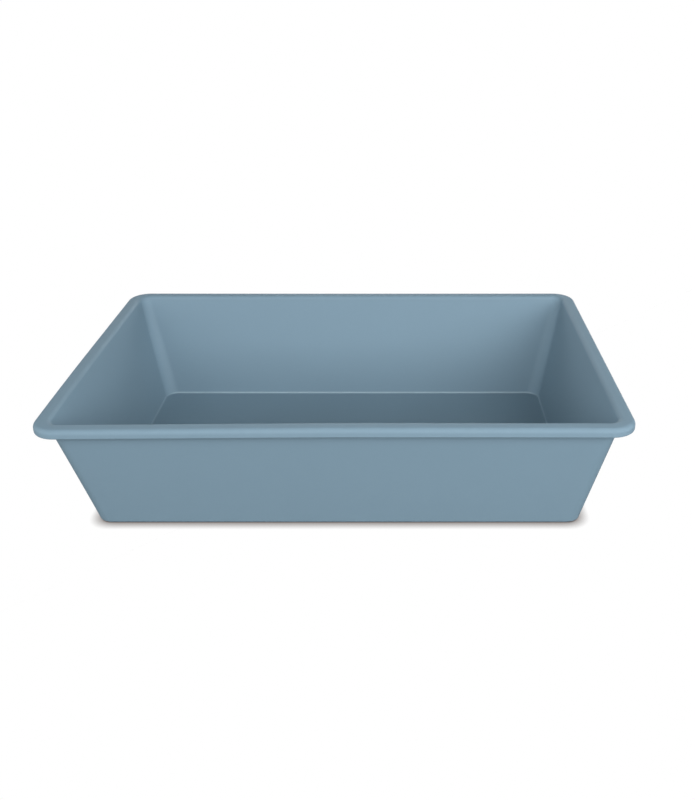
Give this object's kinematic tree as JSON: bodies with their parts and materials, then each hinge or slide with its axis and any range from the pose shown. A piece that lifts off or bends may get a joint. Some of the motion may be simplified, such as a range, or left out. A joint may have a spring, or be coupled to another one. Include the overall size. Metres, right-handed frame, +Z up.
{
  "type": "mud pan",
  "caption": "Wide rectangular moulded plastic tray for mixing and carrying plaster or joint compound, with drafted walls, rounded corners and a rolled rim with a down-turned lip.",
  "frame": {"origin": "middle of the face that the pan rests on", "axes": "+X along the pan's length, +Y across its width towards the far wall, +Z up out of the open top"},
  "size_m": [0.457, 0.305, 0.103],
  "materials": {
    "pan_plastic": "satin moulded, blue-grey"
  },
  "bodies": {
    "root": {"pan": "pan_plastic"}
  },
  "joints": []
}
